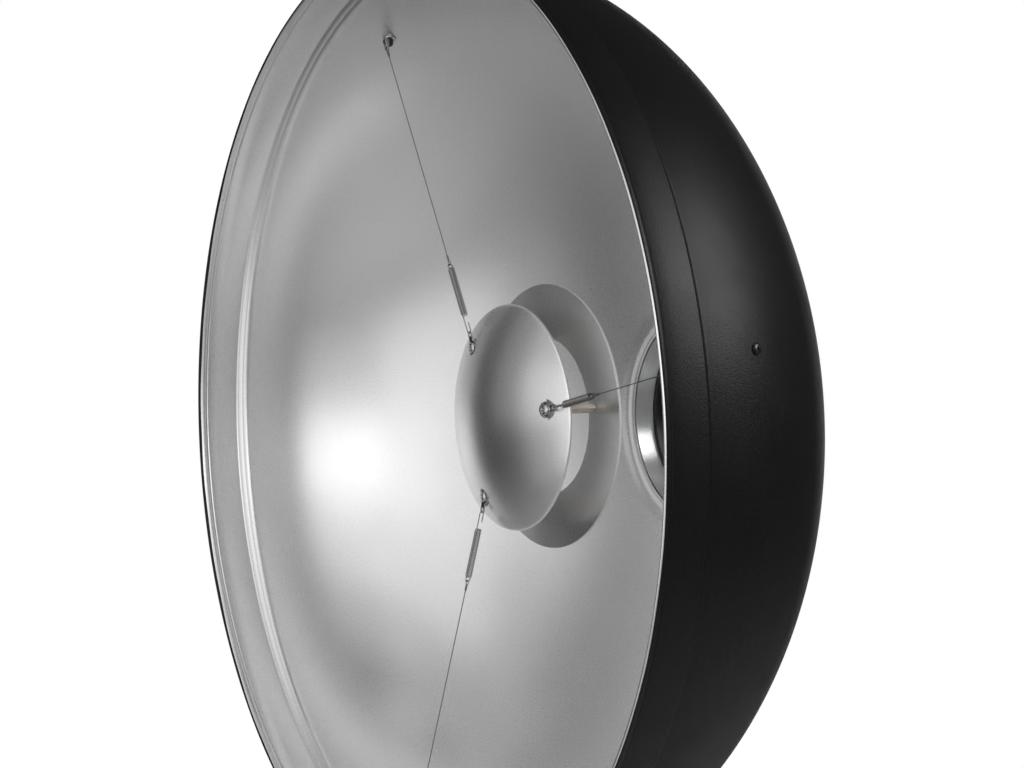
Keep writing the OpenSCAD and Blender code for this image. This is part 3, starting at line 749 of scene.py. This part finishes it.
def make_anchors():
    """Button screws from outside and domed nuts inside."""
    flip = Matrix.Rotation(math.pi, 4, "Z")
    cap_x = -WALL_GAP - LUG_T - SEAT_GAP
    crown_x = cap_x - CAP_LEN + CAP_R
    nut = [(cap_x, 0), (cap_x, CAP_R - 0.3), (cap_x - 0.3, CAP_R), (crown_x, CAP_R)]
    nut += arc(crown_x, 0, CAP_R, 90, 170, 12)[1:] + [(crown_x - CAP_R, 0)]
    length = SHEET + SEAT_GAP - cap_x + CAP_LEN - 1.6
    for key in LINES:
        head = at_anchor(key) @ Matrix.Translation((SHEET + SEAT_GAP, 0, 0)) @ flip
        screw = pan_screw("wall_screw_" + key, head, length, OXIDE, BUTTON_R, BUTTON_H, "hex")
        keep(screw, "dish", "black_oxide", "wall_screws")
        piece = turned("cap_nut_" + key, nut, at_anchor(key), OXIDE, 48)
        keep(piece, "dish", "black_oxide", "wall_cap_nuts")


# ---- Deflector plates ----

def make_dome():
    """Spun dome with a softened edge and three spot-faced bosses."""
    rings = [(DOME_FRONT_D, 0)]
    for k in range(1, 61):
        r = (DOME_R - 0.35) * k / 60
        rings.append((DOME_FRONT_D + sag(r), r))
    edge_d = DOME_FRONT_D + sag(DOME_R)
    rings += [(edge_d + 0.15, DOME_R - 0.08), (edge_d + 0.45, DOME_R), (edge_d + DOME_T - 0.35, DOME_R),
              (edge_d + DOME_T - 0.05, DOME_R - 0.25)]
    for k in range(40, 0, -1):
        r = (DOME_R - 0.6) * k / 40
        rings.append((DOME_FRONT_D + DOME_T + sag(r), r))
    rings.append((DOME_FRONT_D + DOME_T, 0))
    piece = turned("dome", rings, on_axis(0, HANG), DEFLECTOR, 256)
    boss_front_d = DOME_FRONT_D + sag(POST_CIRCLE_R) + 0.6
    boss_rings = [(boss_front_d, 0), (boss_front_d, BOSS_R), (BOSS_BACK_D - 0.3, BOSS_R),
                  (BOSS_BACK_D, BOSS_R - 0.3), (BOSS_BACK_D, 0)]
    clear_d = DOME_FRONT_D - 5
    seat_rings = [(clear_d, 0), (clear_d, SEAT_R), (SEAT_FACE_D, SEAT_R), (SEAT_FACE_D, 0)]
    for key in LINES:
        cut(piece, turned("boss", boss_rings, at_post(key, 0), DEFLECTOR, 64), "UNION")
        cut(piece, turned("seat", seat_rings, at_post(key, 0), DEFLECTOR, 64), "DIFFERENCE")
    piece.data.set_sharp_from_angle(angle=math.radians(35))
    return keep(piece, "deflector", "silver_paint", "deflector_dome")


def cut(piece, tool, operation):
    """Joins a tool to a piece or takes it away, and applies the result."""
    step = piece.modifiers.new("cut", "BOOLEAN")
    step.operation = operation
    step.solver = "EXACT"
    step.object = tool
    depsgraph = bpy.context.evaluated_depsgraph_get()
    mesh = bpy.data.meshes.new_from_object(piece.evaluated_get(depsgraph))
    piece.modifiers.clear()
    old = piece.data
    piece.data = mesh
    mesh.name = old.name
    bpy.data.meshes.remove(old)
    tool_mesh = tool.data
    bpy.data.objects.remove(tool)
    bpy.data.meshes.remove(tool_mesh)


def circle(r, count=240):
    """Points (x, y) round a circle."""
    return [(r * math.cos(TAU * k / count), r * math.sin(TAU * k / count)) for k in range(count)]


# The stamped plates' own X and Y become the dish's X and Z
PLATE_UP = Matrix(((1, 0, 0, 0), (0, 0, 1, 0), (0, 1, 0, 0), (0, 0, 0, 1)))


def make_plate():
    """Flat ring with a hole at each post."""
    holes = [(0, 0, PLATE_HOLE_R)]
    for post_angle, _ in LINES.values():
        p = polar(POST_CIRCLE_R, post_angle)
        holes.append((p.x, p.z, M4_HOLE_R))
    bm = stamped(circle(PLATE_R), holes, PLATE_T, 0.3, 3)
    place = Matrix.Translation(HANG + Vector((0, FRONT_Y + PLATE_D + PLATE_T / 2, 0))) @ PLATE_UP
    piece = finish_mesh("ring_plate", bm, place, [DEFLECTOR], 35)
    return keep(piece, "deflector", "silver_paint", "deflector_plate")


# ---- Lugs ----

def lug_outline(length, ring_r, end_r, half_w):
    """Ring, straight tail and round end, as (x, y) points along +X."""
    join = math.degrees(math.asin(half_w / ring_r))
    far_join = math.degrees(math.asin(min(1, half_w / end_r)))
    near_x = ring_r * math.cos(math.radians(join)) + 0.3
    far_x = length - end_r * math.cos(math.radians(far_join))
    # Short straight runs, so that the tail can be bent
    run = [near_x + (far_x - near_x) * k / 10 for k in range(11)]
    lower = [(x, -half_w) for x in run]
    upper = [(x, half_w) for x in reversed(run)]
    ring = arc(0, 0, ring_r, join, 360 - join, 40)
    end = arc(length, 0, end_r, far_join - 180, 180 - far_join, 20)
    return ring + lower + end + upper


def make_dome_lugs():
    """Flat lugs under the dome's screws, each with an eye for its spring's hook."""
    for key in LINES:
        holes = [(0, 0, M4_HOLE_R), (LUG_LEN, 0, EYE_R + EYE_PLAY)]
        bm = stamped(lug_outline(LUG_LEN, LUG_RING_R, LUG_END_R, LUG_W / 2), holes, LUG_T, 0.18, 3)
        place = Matrix.Translation(screw_point(key)) @ turned_about_y(line_turn(key)) @ PLATE_UP
        piece = finish_mesh("deflector_lug_" + key, bm, place, [CHROME], 40)
        keep(piece, "deflector", "chrome", "dome_lug_" + key)


def make_wall_lugs():
    """Lugs under the cap nuts; the tail turns up from the wall to lie along the cable."""
    length = BEND_OUT + WALL_TAIL
    for key in LINES:
        holes = [(0, 0, M4_HOLE_R), (length, 0, EYE_R)]
        bm = stamped(lug_outline(length, LUG_RING_R, LUG_END_R, LUG_W / 2), holes, LUG_T, 0.18, 3)
        bmesh.ops.triangulate(bm, faces=bm.faces)
        wall, line = at_anchor(key), on_line(key)
        ring_at = wall @ Vector((-WALL_GAP - LUG_T / 2, 0, 0))
        along = -(wall.to_3x3() @ Vector((0, 1, 0)))
        away = -(line.to_3x3() @ Vector((1, 0, 0)))
        side = wall.to_3x3() @ Vector((0, 0, 1))
        far_side = line.to_3x3() @ Vector((0, 0, 1))
        inner = (away - along * along.dot(away)).normalized()
        turn = along.angle(away)
        start = BEND_OUT - BEND_R * math.tan(turn / 2)
        for v in bm.verts:
            u, w, h = v.co
            # How far round the bend this point lies, and how far past it
            spin = min(turn, max(0.0, (u - start) / BEND_R))
            past = max(0.0, u - start - BEND_R * turn)
            ahead = along * math.cos(spin) + inner * math.sin(spin)
            across = side.lerp(far_side, spin / turn)
            across = (across - ahead * across.dot(ahead)).normalized()
            up = inner * math.cos(spin) - along * math.sin(spin)
            up = (up - across * up.dot(across)).normalized()
            bend = inner * (BEND_R * (1 - math.cos(spin))) + along * (BEND_R * math.sin(spin))
            v.co = ring_at + along * min(u, start) + bend + away * past + across * w + up * h
        piece = finish_mesh("anchor_lug_" + key, bm, Matrix.Identity(4), [ZINC], 40)
        keep(piece, "dish", "zinc_steel", "wall_lug_" + key)


# ---- Cables, sleeves and springs ----

def ring_points(centre, r, start, end, plane, steps=24):
    """Points round a loop in the line's XY or XZ plane, angles from +X."""
    points = []
    for x, across in arc(centre, 0, r, start, end, steps):
        points.append(Vector((x, across, 0) if plane == "XY" else (x, 0, across)))
    return points


# Where along its line the spring's loop and the cable's near eye have their centres
LOOP_X = COIL_X + SPRING_LEN + LOOP_R - 0.3
LINK_X = LOOP_X + LOOP_R - SPRING_WIRE_R - CABLE_R - 0.1 + LINK_R


def strand(k, a):
    """A thin rope's lobed section, turned a little at each ring."""
    return CABLE_R * (0.9 + 0.1 * math.cos(6 * (a + 0.42 * k)))


def make_cables():
    """Each cable has an eye at both ends, and two strands side by side in each sleeve."""
    for key in LINES:
        far = pivot_x(key)
        near_eye = LINK_X + LINK_R
        far_eye = far - EYE_LOOP_R
        first = near_eye + SPLIT_LEN
        last = far_eye - SPLIT_LEN
        path = [Vector((first - 2.2, 0, -STRAND_OFF)), Vector((near_eye + 2.2, 0, -STRAND_OFF))]
        path += ring_points(LINK_X, LINK_R, -28, -332, "XZ", 26)
        path += [Vector((near_eye + 2.2, 0, STRAND_OFF)), Vector((first - 1.5, 0, STRAND_OFF))]
        count = int((last - first) / 1.1)
        path += [Vector((first + (last - first) * k / count, 0, 0)) for k in range(count + 1)]
        path += [Vector((last + 1.5, -STRAND_OFF, 0)), Vector((far_eye - 2.2, -STRAND_OFF, 0))]
        path += ring_points(far, EYE_LOOP_R, 208, 512, "XY", 26)
        path += [Vector((far_eye - 2.2, STRAND_OFF, 0)), Vector((last + 2.2, STRAND_OFF, 0))]
        bm = bmesh.new()
        sweep(bm, path, strand, 18)
        piece = finish_mesh("rope_" + key, bm, on_line(key), [CABLE_STEEL], 60)
        keep(piece, "line_" + key, "cable_steel", "cable_" + key)


def make_ferrules():
    """Crimped sleeves behind the two eyes of each cable."""
    for key in LINES:
        first_x = LINK_X + LINK_R + CABLE_R + SEAT_GAP
        last_x = pivot_x(key) - EYE_LOOP_R - CABLE_R - SEAT_GAP - FERRULE_LEN
        for end, x0, wide in (("near", first_x, 0), ("far", last_x, math.pi / 2)):
            def oval(grow, flat, wide=wide):
                return lambda a: grow * FERRULE_R * (1 - flat * math.cos(a - wide) ** 2)
            rings = [(x0, 0), (x0, oval(0.82, 0.15)), (x0 + 0.15, oval(0.97, 0.15))]
            for k in range(13):
                x = x0 + 0.3 + (FERRULE_LEN - 0.6) * k / 12
                pinch = 0.15 + 0.22 * max(0.0, math.sin(TAU * 2 * k / 12 - math.pi / 2))
                rings.append((x, oval(1.0, pinch)))
            rings += [(x0 + FERRULE_LEN - 0.15, oval(0.97, 0.15)), (x0 + FERRULE_LEN, oval(0.82, 0.15)),
                      (x0 + FERRULE_LEN, 0)]
            piece = turned("sleeve_%s_%s" % (key, end), rings, on_line(key), CABLE_STEEL, 32)
            keep(piece, "line_" + key, "cable_steel", "ferrules_" + key)


def make_springs():
    """One wire each: open hook, coils that shrink at both ends, closed loop."""
    coil_r = SPRING_R - SPRING_WIRE_R
    for key in LINES:
        points = [Vector((HOOK_X + TIP_LEN * k / 6, HOOK_R, 0)) for k in range(6, 0, -1)]
        points += ring_points(HOOK_X, HOOK_R, 90, 270, "XY", 14)
        shank_end = COIL_X - 1.2
        points += [Vector((HOOK_X + (shank_end - HOOK_X) * k / 8, -HOOK_R, 0)) for k in range(1, 9)]
        steps = 20
        total = COIL_TURNS * steps
        pitch = SPRING_LEN / COIL_TURNS
        lead = steps // 2
        for k in range(total + 1):
            t = min(1.0, k / lead)
            out = min(1.0, (total - k) / lead)
            r = HOOK_R + (coil_r - HOOK_R) * (1 - math.cos(math.pi * min(t, out))) / 2
            a = -math.pi / 2 + TAU * k / steps
            points.append(Vector((COIL_X + pitch * k / steps, r * math.sin(a), r * math.cos(a))))
        loop = ring_points(LOOP_X, LOOP_R, 250, 250 - 340, "XY", 24)
        points += loop
        coils = range(len(points) - len(loop) - total, len(points) - len(loop))
        bm = bmesh.new()
        sweep(bm, points, lambda k, a: SPRING_WIRE_R * (COIL_WIRE_SHARE if k in coils else 1), 10)
        piece = finish_mesh("coil_spring_" + key, bm, on_line(key), [SPRING_STEEL], 60)
        keep(piece, "line_" + key, "spring_steel", "spring_" + key)


def dress_cad_nodes():
    """Finishes for the CAD nodes that stay."""
    finishes = {"flange_rivets": ZINC, "insert_ring": INSERT, "bayonet_ring": ZINC, "bayonet_screws": OXIDE}
    for place in ("top", "left", "right"):
        finishes["clamp_screw_" + place] = OXIDE
        finishes["clamp_tip_" + place] = BRASS
    for node, material in finishes.items():
        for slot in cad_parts[node].material_slots:
            slot.material = material


# ---- Studio ----

def towards(azimuth, elevation):
    """Unit vector to a place in the studio; azimuth 0 is in front of the dish, 90 to its right."""
    a, e = math.radians(azimuth), math.radians(elevation)
    return Vector((math.sin(a) * math.cos(e), -math.cos(a) * math.cos(e), math.sin(e)))


# The camera's place in metres, and the direction from which it looks, in degrees
CAMERA_PLACE = (1.37350, -1.02139, 0.05359)
CAMERA_AZIMUTH = 59.21
CAMERA_ELEVATION = 0.835
CAMERA_ROLL = -1.4
LENS = 75.59


def make_camera():
    camera = bpy.data.objects.new("camera", bpy.data.cameras.new("camera"))
    camera.data.lens = LENS
    camera.data.sensor_width = 36
    level = towards(CAMERA_AZIMUTH, CAMERA_ELEVATION).to_track_quat("Z", "Y").to_matrix().to_4x4()
    roll = Matrix.Rotation(math.radians(CAMERA_ROLL), 4, "Z")
    camera.matrix_world = Matrix.Translation(CAMERA_PLACE) @ level @ roll
    bpy.context.scene.collection.objects.link(camera)
    bpy.context.scene.camera = camera


# Softboxes, all as far in metres from one point in the dish: azimuth and width, elevation and
# height, in degrees seen from that point, and how bright their face is (1 is white)
STUDIO_CENTRE = Vector((0, -0.15, 0))
LIGHT_DISTANCE = 2.2
SOFTBOXES = {
    "key": (57, 44, 8, 22, 1.85),
    "front_right": (24, 22, 8, 22, 1.4),
    "front": (2, 22, 8, 22, 1.05),
    "front_left": (-20, 22, 8, 22, 0.8),
    "left": (-42, 22, 19, 44, 0.2),
    "low_left": (-20, 22, -14, 22, 0.3),
    "low_front": (13, 44, -14, 22, 1.05),
    "low_right": (57, 44, -14, 22, 0.6),
    "high_left": (-20, 22, 30, 22, 0.5),
    "high_front": (13, 44, 30, 22, 1.0),
    "high_right": (57, 44, 30, 22, 1.0),
    "top_left": (-16, 72, 52, 22, 0.45),
    "top_right": (56, 72, 52, 22, 0.55),
    "overhead": (0, 60, 75, 24, 0.7),
    "side": (132, 26, 26, 24, 8.0),
}

# The floor's height, radius and thickness in millimetres, and its glow for camera and gloss rays
FLOOR_Z = -1300.0
FLOOR_R = 4000.0
FLOOR_T = 20.0
FLOOR_SEEN = 0.7
FLOOR_MIRRORED = 0.03


def make_softboxes():
    for name, (azimuth, width, elevation, height, glow) in SOFTBOXES.items():
        lamp = bpy.data.lights.new(name, "AREA")
        lamp.shape = "RECTANGLE"
        distance = LIGHT_DISTANCE * math.cos(math.radians(elevation))
        lamp.size = 2 * distance * math.tan(math.radians(width / 2))
        lamp.size_y = 2 * LIGHT_DISTANCE * math.tan(math.radians(height / 2))
        lamp.energy = math.pi * lamp.size * lamp.size_y * glow
        obj = bpy.data.objects.new(name, lamp)
        away = towards(azimuth, elevation)
        obj.location = STUDIO_CENTRE + away * LIGHT_DISTANCE
        obj.rotation_euler = (-away).to_track_quat("-Z", "Y").to_euler()
        obj.visible_camera = False
        bpy.context.scene.collection.objects.link(obj)


# Reflections see a white backdrop behind the dish, across from the camera
BACKDROP_AZIMUTH = -125
BACKDROP_HALF_ANGLE = 18
ROOM_LEVEL = 0.05


def make_world():
    """White for the camera, and for reflections where the backdrop stands; elsewhere a dim room."""
    world = bpy.data.worlds.new("studio")
    bpy.context.scene.world = world
    world.use_nodes = True
    tree = world.node_tree
    rays = tree.nodes.new("ShaderNodeLightPath").outputs
    direction = tree.nodes.new("ShaderNodeTexCoord").outputs["Generated"]
    facing = tree.nodes.new("ShaderNodeVectorMath")
    facing.operation = "DOT_PRODUCT"
    tree.links.new(direction, facing.inputs[0])
    facing.inputs[1].default_value = towards(BACKDROP_AZIMUTH, 0)
    edge = math.cos(math.radians(BACKDROP_HALF_ANGLE))
    on_backdrop = math_node(tree, "GREATER_THAN", facing.outputs["Value"], edge)
    mirrored = math_node(tree, "MAXIMUM", rays["Is Glossy Ray"], rays["Is Transmission Ray"])
    seen_in_gloss = math_node(tree, "MULTIPLY", mirrored, on_backdrop)
    white = math_node(tree, "MAXIMUM", rays["Is Camera Ray"], seen_in_gloss)
    background = tree.nodes["Background"]
    background.inputs["Color"].default_value = (1, 1, 1, 1)
    tree.links.new(math_node(tree, "MAXIMUM", white, ROOM_LEVEL), background.inputs["Strength"])


def make_floor():
    """Round pale floor under the dish."""
    bm = bmesh.new()
    loft(bm, [(0, 0), (0, FLOOR_R), (-FLOOR_T, FLOOR_R), (-FLOOR_T, 0)], 180)
    lie_flat = Matrix.Translation((0, 0, FLOOR_Z)) @ Matrix.Rotation(-math.pi / 2, 4, "Y")
    paint = Shader("floor_paint", (0.85, 0.85, 0.85), 0.8)
    paint.color(paint.ramp(paint.noise(3, 2.0), (0.84, 0.84, 0.84), (0.87, 0.87, 0.87)))
    # Paler where the camera sees it than in reflections
    rays = paint.node("ShaderNodeLightPath").outputs
    seen = paint.math("MULTIPLY", rays["Is Camera Ray"], FLOOR_SEEN)
    in_gloss = paint.math("MAXIMUM", rays["Is Glossy Ray"], rays["Is Transmission Ray"])
    mirrored = paint.math("MULTIPLY", in_gloss, FLOOR_MIRRORED)
    paint.set("Emission Color", (1, 1, 1, 1))
    paint.link(paint.math("MAXIMUM", seen, mirrored), paint.bsdf.inputs["Emission Strength"])
    floor = finish_mesh("floor", bm, lie_flat, [paint.material])


make_camera()
make_dish()
make_mount_ring()
make_dome()
make_plate()
make_posts()
make_screws()
make_dome_lugs()
make_wall_lugs()
make_anchors()
make_cables()
make_ferrules()
make_springs()
dress_cad_nodes()
make_floor()
make_world()
make_softboxes()

bpy.context.scene.view_settings.view_transform = "Standard"
